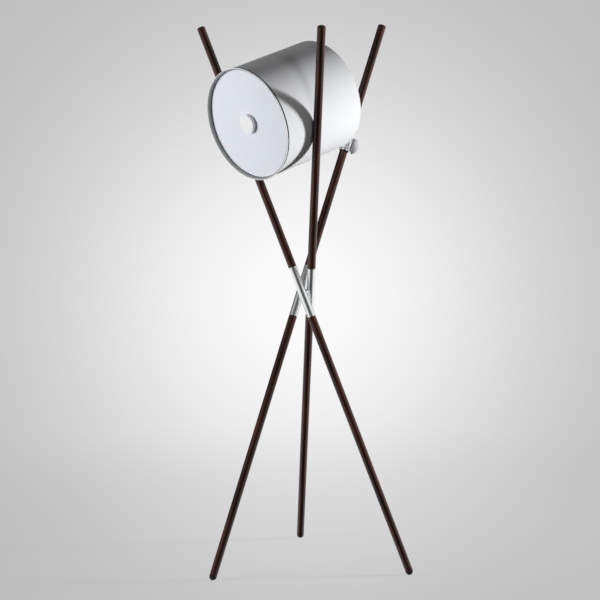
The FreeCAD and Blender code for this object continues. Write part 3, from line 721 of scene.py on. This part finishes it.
def lathe(name, line, corners, sides, closed=False, floor=None):
    """A piece whose surface is an outline carried round a line.

    An outline that isn't closed starts and ends on the line, in a pole of one vertex. Nothing reaches
    below the height of the floor in the frame, where one is given.
    """
    local, normal = (spun(rows, sides) for rows in outline(corners, closed))
    rows = len(local)
    ring = np.arange(rows * sides).reshape(rows, sides)
    if not closed:
        local, normal, ring = poled(local, normal, rows, sides)
    if closed:
        faces = bands(ring, np.roll(ring, -1, axis=0))
    else:
        faces = bands(ring[1:-2], ring[2:-1]) + fan(0, ring[1, ::-1]) + fan(ring[-1, 0], ring[-2])
    local, normal = local.reshape(-1, 3), normal.reshape(-1, 3)
    vertices = line.placed(local)
    if floor is not None:
        vertices[:, 2] = np.maximum(vertices[:, 2], floor)
    return piece(name, vertices, faces, local, line.turned(normal) if floor is None else None)


def poled(local, normal, rows, sides):
    """Merge the first and last ring of a grid into one vertex each, on the line."""
    inner = slice(1, rows - 1)
    ends = [grid[row, :1].reshape(1, 3) for grid in (local, normal) for row in (0, -1)]
    local = np.concatenate((ends[0], local[inner].reshape(-1, 3), ends[1]))
    straight = [np.array([[0.0, 0.0, np.sign(end[0, 2]) or 1.0]]) for end in ends[2:]]
    normal = np.concatenate((straight[0], normal[inner].reshape(-1, 3), straight[1]))
    ring = np.empty((rows, sides), int)
    ring[inner] = 1 + np.arange((rows - 2) * sides).reshape(rows - 2, sides)
    ring[0], ring[-1] = 0, len(local) - 1
    return local, normal, ring


def carry_place(mesh, place):
    """Keep each vertex's place along the piece's own axis in an attribute, for its finish."""
    mesh.attributes.new("place", "FLOAT_VECTOR", "POINT").data.foreach_set("vector", place.ravel())


def stand(name, data):
    """An object for a mesh, a lamp or a camera, at the origin."""
    made = bpy.data.objects.new(name, data)
    bpy.context.scene.collection.objects.link(made)
    return made


def piece(name, vertices, faces, place, normals=None):
    """A mesh object at the origin that carries its own place as an attribute."""
    mesh = bpy.data.meshes.new(name)
    mesh.from_pydata(vertices.tolist(), [], faces)
    carry_place(mesh, place)
    mesh.shade_smooth()
    if normals is None:
        mesh.set_sharp_from_angle(angle=CREASE)
    else:
        mesh.normals_split_custom_set_from_vertices(normals.tolist())
    return stand(name, mesh)


def softened(name, node, rounding):
    """A copy of a node's mesh, merged along its seams, with its hard edges rounded by a bevel."""
    mesh = bpy.data.meshes.new(name)
    shape = bmesh.new()
    shape.from_mesh(frame["nodes"][node].data)
    bmesh.ops.remove_doubles(shape, verts=shape.verts, dist=MERGE)
    bmesh.ops.dissolve_limit(shape, angle_limit=FLAT, verts=shape.verts, edges=shape.edges)
    bmesh.ops.triangulate(shape, faces=[face for face in shape.faces if len(face.verts) > 4])
    shape.to_mesh(mesh)
    shape.free()
    carry_place(mesh, DRUM.local(vertices_of(mesh)))
    mesh.shade_smooth()
    mesh.set_sharp_from_angle(angle=CREASE)
    made = stand(name, mesh)
    bevel = made.modifiers.new("Rounded edges", "BEVEL")
    bevel.width = rounding
    bevel.segments = 2
    bevel.limit_method = "ANGLE"
    bevel.angle_limit = BEVEL_CREASE
    bevel.harden_normals = True
    return made


def settle(made, body, slot, *nodes, material=None):
    """Give a piece its finish, its body and the nodes that it stands for."""
    made.data.materials.append(finish(material or slot))
    if nodes:
        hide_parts(*nodes)
    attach(made, body)


# Pieces

def build_rods(look):
    """Round bars: the upper ones end in a crown with a wide rounding, the lower ones narrow to the foot."""
    for leg, line in LEG_LINES.items():
        low, high, radius = span("upper_rod_%d" % leg, line)
        flat = ROD_RADIUS * look.crown_flat
        rod = lathe("rod_upper_%d" % leg, line, [
            (0, low, 0), (radius, low, look.end_rounding),
            (radius, high - look.top_crown, look.top_corner),
            (flat, high, 3 * look.top_corner), (0, high, 0),
        ], look.sides)
        settle(rod, "tripod", "dark_wood", "upper_rod_%d" % leg)
        low, high, radius = span("lower_rod_%d" % leg, line)
        foot = foot_radius(leg, line, low)
        rod = lathe("rod_lower_%d" % leg, line, [
            (0, low, 0), (foot, low, look.end_rounding / 3),
            (radius, high, look.end_rounding), (0, high, 0),
        ], look.sides)
        settle(rod, "tripod", "dark_wood", "lower_rod_%d" % leg)


def foot_radius(leg, line, low):
    """A lower rod's radius at its foot, read from its lowest points."""
    points = points_of("lower_rod_%d" % leg)
    return line.reach(points[line.station(points) < low + NEAR]).max()


def build_tips(look):
    """Bullet-shaped tips: r = R * sqrt(1 - (1 - h / run) ** 2) with h counted up from the nose."""
    for leg, line in LEG_LINES.items():
        low, _, radius = span("foot_tip_%d" % leg, line)
        joint_face = span("lower_rod_%d" % leg, line)[0]
        turn = np.linspace(0, math.pi / 2, look.tip_rings)
        bullet = [(radius * math.sin(each), joint_face - (joint_face - low) * math.cos(each), 0)
                  for each in turn]
        tip = lathe("foot_tip_%d_rubber" % leg, line, bullet + [(0, joint_face, 0)], look.sides,
                    floor=0.0)
        settle(tip, "tripod", "black_rubber", "foot_tip_%d" % leg)


def build_sleeves(look):
    """Round bars with rounded edges, as long as the CAD sleeves."""
    for leg, line in LEG_LINES.items():
        low, high, radius = span("waist_sleeve_%d" % leg, line)
        sleeve = lathe("waist_sleeve_%d_turned" % leg, line, [
            (0, low, 0), (radius, low, look.sleeve_rounding),
            (radius, high, look.sleeve_rounding), (0, high, 0),
        ], look.sides)
        settle(sleeve, "tripod", "bright_aluminium", "waist_sleeve_%d" % leg,
               material="turned_aluminium")


def build_shell(look):
    """A tube whose front edge is cut back for the dark seal between it and the rim, which also stands for
    painted contact shade there.
    """
    bore = least_reach("drum_shell", DRUM)
    edge, seam = look.edge_rounding, look.seam_rounding
    cut, low = DRUM_START + look.seal_and_shade_lap, DRUM_RADIUS - look.seal_depth
    front = look.hidden_rounding / 2
    shell = lathe("drum_shell_satin", DRUM, [
        (low, DRUM_START, front), (low, cut, 0),
        (DRUM_RADIUS, cut, edge), (DRUM_RADIUS, DRUM_END, seam),
        (bore, DRUM_END, seam), (bore, DRUM_START, front),
    ], look.sides, closed=True)
    settle(shell, "head", "satin_drum", "drum_shell")


def build_seal_and_shade(look):
    """The dark seal that fills the joint between the rim and the shell; its lap over the shell's edge is
    widened to stand for the rim's contact shade, so it is partly a real dark joint and partly painted shade.
    """
    gap = look.seal_gap
    start, end = RIM_REAR + gap, DRUM_START - gap
    lap = end + look.seal_and_shade_lap
    low, shelf, high = RING_COLLAR + gap, DRUM_RADIUS - look.seal_depth + gap, DRUM_RADIUS - gap
    seal = lathe("front_seal_and_shade", DRUM, [
        (high, start, 0), (high, lap, 0), (shelf, lap, 0), (shelf, end, 0), (low, end, 0), (low, start, 0),
    ], look.sides, closed=True)
    settle(seal, "head", "black_rubber")


def build_front(look):
    """The rim with its chamfer and the collar and seat behind it, and the flat disc that it holds."""
    rim, bore, fine, hidden = look.rim_rounding, look.bore_rounding, look.fine_rounding, look.hidden_rounding
    seat = least_reach("front_ring", DRUM)
    start, end, outer = span("front_ring", DRUM)
    disc_start, disc_end, disc_radius = span("diffuser_disc", DRUM)
    post = least_reach("diffuser_disc", DRUM)
    seat_front = span("diffuser_gasket", DRUM)[1] + look.gasket_gap
    inner = disc_radius + look.disc_gap
    ring = lathe("front_ring_bright", DRUM, [
        (outer, start, rim), (outer, RIM_REAR, rim), (RING_COLLAR, RIM_REAR, hidden),
        (RING_COLLAR, end, fine), (seat, end, fine), (seat, seat_front, hidden),
        (inner, seat_front, hidden), (inner, CHAMFER_END, bore), (RIM_FACE, start, fine),
    ], look.sides, closed=True)
    settle(ring, "head", "lip_ring", "front_ring")
    disc = lathe("diffuser_disc_opal", DRUM, [
        (disc_radius, disc_start, bore), (disc_radius, disc_end, fine),
        (post, disc_end, hidden), (post, disc_start, hidden),
    ], look.sides, closed=True)
    settle(disc, "head", "opal_diffuser", "diffuser_disc")


def build_knobs(look):
    """The front knob is a shallow cap. The clamp's is a rim under a ball's cap of the same radius."""
    start, end, radius = span("diffuser_knob", DRUM)
    knob = lathe("diffuser_knob_white", DRUM, [
        (0, start + look.knob_crown, 0), (look.knob_face * radius, start, look.knob_sweep),
        (radius, start, look.knob_edge), (radius, end, look.knob_foot), (0, end, 0),
    ], look.knob_sides)
    settle(knob, "front_knob", "white_knob", "diffuser_knob")
    start, end, radius = span("clamp_knob", CLAMP)
    rim = start + look.clamp_rim
    rise = end - rim
    ball = (radius ** 2 + rise ** 2) / (2 * rise)
    turn = np.linspace(math.asin(radius / ball), 0, look.dome_rings)
    dome = [(ball * math.sin(each), end - ball * (1 - math.cos(each)), 0) for each in turn[1:]]
    knob = lathe("clamp_knob_grey", CLAMP, [
        (0, start, 0), (radius, start, look.clamp_edge), (radius, rim, look.clamp_shoulder), *dome,
    ], look.knob_sides)
    settle(knob, "clamp", "grey_knob", "clamp_knob")


def build_mount():
    """The CAD's own collar, bracket and cover with their edges rounded."""
    for name, node, body, slot, rounding in (
        ("collar_casting", "leg_collar", "collar", "bright_aluminium", 0.5 * MM),
        ("bracket_casting", "head_bracket", "head", "bracket_paint", 0.7 * MM),
        ("rear_cover_satin", "rear_cover", "head", "satin_drum", 0.3 * MM),
    ):
        settle(softened(name, node, rounding), body, slot, node)


def build_mouth_ring(look):
    """A black ring round the rod under the collar's lower mouth: partly the collar's dark liner showing
    there, partly a dark piece standing for painted shade under the collar.
    """
    line = LEG_LINES[3]
    mouth = span("leg_collar", line)[0]
    inner, outer = ROD_RADIUS + look.mouth_ring_gap, span("collar_liner", line)[2] + look.mouth_ring_wall
    low = mouth - look.mouth_ring_height
    ring = lathe("collar_mouth_ring_and_shade", line, [
        (outer, low, 0.3 * MM), (outer, mouth, 0), (inner, mouth, 0), (inner, low, 0.2 * MM),
    ], look.sides, closed=True)
    settle(ring, "collar", "black_nylon")


def finish_nodes():
    """Give every node that still shows the finish of its slot."""
    for node in frame["nodes"].values():
        if not node.hide_render:
            slot = node.material_slots[0]
            slot.link = "OBJECT"
            slot.material = finish(slot.material.name if slot.material else node.data.materials[0].name)


# Studio

FRAME_WIDTH = 36.0
FLOOR_RINGS, FLOOR_SIDES = 24, 96
LEAST_DIVISOR = 0.01
UP = (0.0, 0.0, 1.0)
WHITE = (1.0, 1.0, 1.0)
# Where each lamp stands from the drum: to the camera's right, away from it and up
KEY_SIDE = (0.995, 0.087, -0.05)
FILL_SIDE = (-0.95, -0.29, -0.1)
FRONT_SIDE = (0.42, -0.85, 0.32)
# The top lamp's aim over the tripod's foot, and its place from there, away from the camera and up
TOP_AIM, TOP_AWAY, TOP_RISE = 1.0, -0.4, 2.4


class Viewpoint:
    """Where the camera stands and looks, worked out from the studio's settings."""

    def __init__(self, studio):
        azimuth = studio.camera_azimuth
        out = np.array((math.cos(azimuth), math.sin(azimuth), 0.0))
        self.place = TRIPOD_CENTRE + out * studio.camera_distance
        self.place[2] = studio.camera_height
        heading = azimuth + math.pi - studio.camera_pan
        pitch, roll = studio.camera_pitch, studio.camera_roll
        self.ahead = np.array((math.cos(heading) * math.cos(pitch), math.sin(heading) * math.cos(pitch),
                               -math.sin(pitch)))
        self.level = np.array((math.sin(heading), -math.cos(heading), 0.0))
        self.away = np.cross(UP, self.level)
        upright = np.cross(self.level, self.ahead)
        self.right = self.level * math.cos(roll) + upright * math.sin(roll)
        self.up = upright * math.cos(roll) - self.level * math.sin(roll)


def backdrop(direction, studio, eye):
    """Brightness of the backdrop: a Gaussian of the tangent of the angle from the camera's aim."""
    along = direction.dot(eye.ahead)
    along_squared = along * along
    tangent_squared = (1 - along_squared) / along_squared.least(LEAST_DIVISOR)
    spread = math.tan(studio.backdrop_spread) ** 2
    glow = math.e ** (tangent_squared * (-1 / spread))
    return glow * studio.backdrop_glow + studio.backdrop_edge


def tent(direction, eye):
    """What the metal mirrors: white beside and below the lamp, dark above and behind, dark at the camera."""
    aside = direction.dot(eye.level)
    away = direction.dot(eye.away)
    height = direction.dot(UP)
    # The walls darken upwards, away from the camera and to its left, and are white below the horizon
    slope = height * 0.6 + away * 0.8 - aside * 0.5
    above = (0.85 - slope * 0.75).least(0.06).most(1.05)
    below = 1 - height.step(-0.25, 0.0)
    walls = above + (0.98 - above) * below
    # A dark strip stands where the camera does
    strip = (1 - (aside - 0.04).size().step(0.35, 0.95)) * (1 - away.step(-0.35, -0.1))
    strip = strip * height.step(0.15, 0.4, 0.95, 0.85)
    return walls * (1 - strip)


def build_world(studio, eye):
    """The camera sees the backdrop, mirrors see the tent, and all else gets a faint even light."""
    world = bpy.data.worlds.new("Studio")
    bpy.context.scene.world = world
    graph = Graph(world)
    direction = graph.node("ShaderNodeTexCoord", output="Generated")
    even, tented, shown = (
        graph.node("ShaderNodeBackground", {"Color": WHITE, "Strength": strength})
        for strength in (studio.ambient, tent(direction, eye), backdrop(direction, studio, eye)))
    lit = graph.mixed(graph.ray("Glossy"), even, tented)
    graph.node("ShaderNodeOutputWorld", {"Surface": graph.mixed(graph.ray("Camera"), lit, shown)})


def build_floor(studio, eye):
    """A disc under the lamp whose tone follows the backdrop and which fades out towards its edge.

    Mirrors and bounced light pass through it, because the tent and the even light stand in for it there.
    """
    rings = np.linspace(0, studio.floor_radius, FLOOR_RINGS + 1)[1:]
    disc = spun(np.stack((rings, np.zeros_like(rings)), axis=1), FLOOR_SIDES).reshape(-1, 3)
    vertices = np.concatenate((np.zeros((1, 3)), disc)) + (*TRIPOD_CENTRE[:2], -studio.floor_drop)
    ring = 1 + np.arange(len(disc)).reshape(len(rings), -1)
    floor = piece("studio_floor", vertices, bands(ring[1:], ring[:-1]) + fan(0, ring[0]), vertices)
    material = bpy.data.materials.new("studio_floor")
    floor.data.materials.append(material)
    graph = Graph(material)
    place = graph.object_place()
    direction = graph.vector("NORMALIZE", graph.vector("SUBTRACT", place, tuple(eye.place)))
    tone = backdrop(direction, studio, eye)
    tint = graph.node("ShaderNodeCombineColor", {"Red": tone, "Green": tone, "Blue": tone})
    matt = graph.node("ShaderNodeBsdfDiffuse", {"Color": tint})
    glow = graph.node("ShaderNodeEmission", {"Color": WHITE, "Strength": tone})
    shown = graph.mixed(graph.ray("Camera") * studio.floor_glow, matt, glow)
    radius = graph.vector("LENGTH", graph.vector("SUBTRACT", place, tuple(TRIPOD_CENTRE)), output="Value")
    fade = radius.step(studio.floor_fade, studio.floor_radius)
    fade = fade.least(graph.ray("Glossy")).least(graph.ray("Diffuse"))
    clear = graph.node("ShaderNodeBsdfTransparent")
    graph.node("ShaderNodeOutputMaterial", {"Surface": graph.mixed(fade, shown, clear)})


def softbox(name, place, aim, width, height, power):
    """A lit panel that neither the camera nor a mirror sees."""
    lamp = bpy.data.lights.new(name, "AREA")
    lamp.shape = "RECTANGLE"
    lamp.size, lamp.size_y = width, height
    lamp.energy = power
    box = stand(name, lamp)
    box.location = place
    box.rotation_euler = (Vector(aim) - Vector(place)).to_track_quat("-Z", "Y").to_euler()
    box.visible_camera = False
    box.visible_glossy = False


def build_lights(studio, eye):
    """A key beside the drum on the camera's right, a fill on its left, one in front and one above.

    A white face that looks at a lamp of P watts shows a brightness of P / (pi * distance) ** 2.
    """
    drum = DRUM.placed(np.array((0.0, 0.0, (DRUM_START + DRUM_END) / 2)))
    axes = np.array((eye.level, eye.away, UP))
    for name, side, width, height, power in (
        ("key_softbox", KEY_SIDE, studio.key_width, studio.key_height, studio.key_power),
        ("fill_softbox", FILL_SIDE, studio.fill_width, studio.fill_height, studio.fill_power),
        ("front_softbox", FRONT_SIDE, studio.front_size, studio.front_size, studio.front_power),
    ):
        place = drum + studio.light_distance * (np.array(side) @ axes)
        softbox(name, place, drum, width, height, power)
    middle = np.array((*TRIPOD_CENTRE[:2], TOP_AIM))
    top = middle + np.array((0.0, TOP_AWAY, TOP_RISE)) @ axes
    softbox("top_softbox", top, middle, studio.top_size, studio.top_size, studio.top_power)


def build_camera(studio, eye):
    """The camera that took the photograph, as fitted to the rods' edges."""
    lens = bpy.data.cameras.new("Photograph")
    lens.lens = studio.lens
    lens.sensor_width = FRAME_WIDTH
    camera = stand("Photograph", lens)
    turn = Matrix(np.stack((eye.right, eye.up, -eye.ahead), axis=1).tolist())
    camera.matrix_world = Matrix.Translation(Vector(eye.place)) @ turn.to_4x4()
    bpy.context.scene.camera = camera


def build_stage(studio):
    """The camera and all that it sees behind and under the lamp, and the lights."""
    eye = Viewpoint(studio)
    bpy.context.scene.view_settings.view_transform = "Standard"
    build_camera(studio, eye)
    build_world(studio, eye)
    build_floor(studio, eye)
    build_lights(studio, eye)


# Operators

class LAMP_OT_stage(bpy.types.Operator):
    """Set up the camera, the lights, the backdrop and the floor"""
    bl_idname = "lamp.stage"
    bl_label = "Studio"

    def execute(self, context):
        build_stage(context.scene.lamp_studio)
        return {"FINISHED"}


class LAMP_OT_legs(bpy.types.Operator):
    """Build the six stained wooden rods and their rubber tips"""
    bl_idname = "lamp.legs"
    bl_label = "Rods and tips"

    def execute(self, context):
        build_rods(context.scene.lamp_legs)
        build_tips(context.scene.lamp_legs)
        return {"FINISHED"}


class LAMP_OT_waist(bpy.types.Operator):
    """Build the three turned sleeves where the legs cross"""
    bl_idname = "lamp.waist"
    bl_label = "Waist sleeves"

    def execute(self, context):
        build_sleeves(context.scene.lamp_legs)
        return {"FINISHED"}


class LAMP_OT_drum(bpy.types.Operator):
    """Build the drum's shell, its seal, its front ring and its diffuser"""
    bl_idname = "lamp.drum"
    bl_label = "Drum"

    def execute(self, context):
        build_shell(context.scene.lamp_drum)
        build_seal_and_shade(context.scene.lamp_drum)
        build_front(context.scene.lamp_drum)
        return {"FINISHED"}


class LAMP_OT_knobs(bpy.types.Operator):
    """Build the knob that holds the diffuser and the knob that clamps the collar"""
    bl_idname = "lamp.knobs"
    bl_label = "Knobs"

    def execute(self, context):
        build_knobs(context.scene.lamp_drum)
        return {"FINISHED"}


class LAMP_OT_mount(bpy.types.Operator):
    """Build the collar with the ring under it, the bracket and the rear cover"""
    bl_idname = "lamp.mount"
    bl_label = "Collar, bracket and cover"

    def execute(self, context):
        build_mount()
        build_mouth_ring(context.scene.lamp_legs)
        return {"FINISHED"}


class LAMP_OT_finishes(bpy.types.Operator):
    """Give every other part of the lamp the finish of its slot"""
    bl_idname = "lamp.finishes"
    bl_label = "Finishes"

    def execute(self, context):
        finish_nodes()
        return {"FINISHED"}


OPERATORS = (LAMP_OT_stage, LAMP_OT_legs, LAMP_OT_waist, LAMP_OT_drum, LAMP_OT_knobs, LAMP_OT_mount,
             LAMP_OT_finishes)
SETTINGS = {"lamp_legs": LampLegSettings, "lamp_drum": LampDrumSettings, "lamp_studio": LampStudioSettings}


class LAMP_PT_panel(bpy.types.Panel):
    """Lists the lamp's settings and the operators that build it"""
    bl_idname = "LAMP_PT_panel"
    bl_label = "Drum lamp"
    bl_space_type = "VIEW_3D"
    bl_region_type = "UI"
    bl_category = "Lamp"

    def draw(self, context):
        for name, group in SETTINGS.items():
            box = self.layout.box()
            for setting in group.__annotations__:
                box.prop(getattr(context.scene, name), setting)
        for operator in OPERATORS:
            self.layout.operator(operator.bl_idname)


CLASSES = (*SETTINGS.values(), *OPERATORS, LAMP_PT_panel)


def register():
    """Register the classes and hang the settings on the scene."""
    for each in CLASSES:
        bpy.utils.register_class(each)
    for name, group in SETTINGS.items():
        setattr(bpy.types.Scene, name, PointerProperty(type=group))


def unregister():
    """Undo register."""
    for name in SETTINGS:
        delattr(bpy.types.Scene, name)
    for each in reversed(CLASSES):
        bpy.utils.unregister_class(each)


def main():
    """Build the whole lamp."""
    register()
    bpy.ops.lamp.stage()
    bpy.ops.lamp.legs()
    bpy.ops.lamp.waist()
    bpy.ops.lamp.drum()
    bpy.ops.lamp.knobs()
    bpy.ops.lamp.mount()
    bpy.ops.lamp.finishes()


if __name__ == "__main__":
    main()
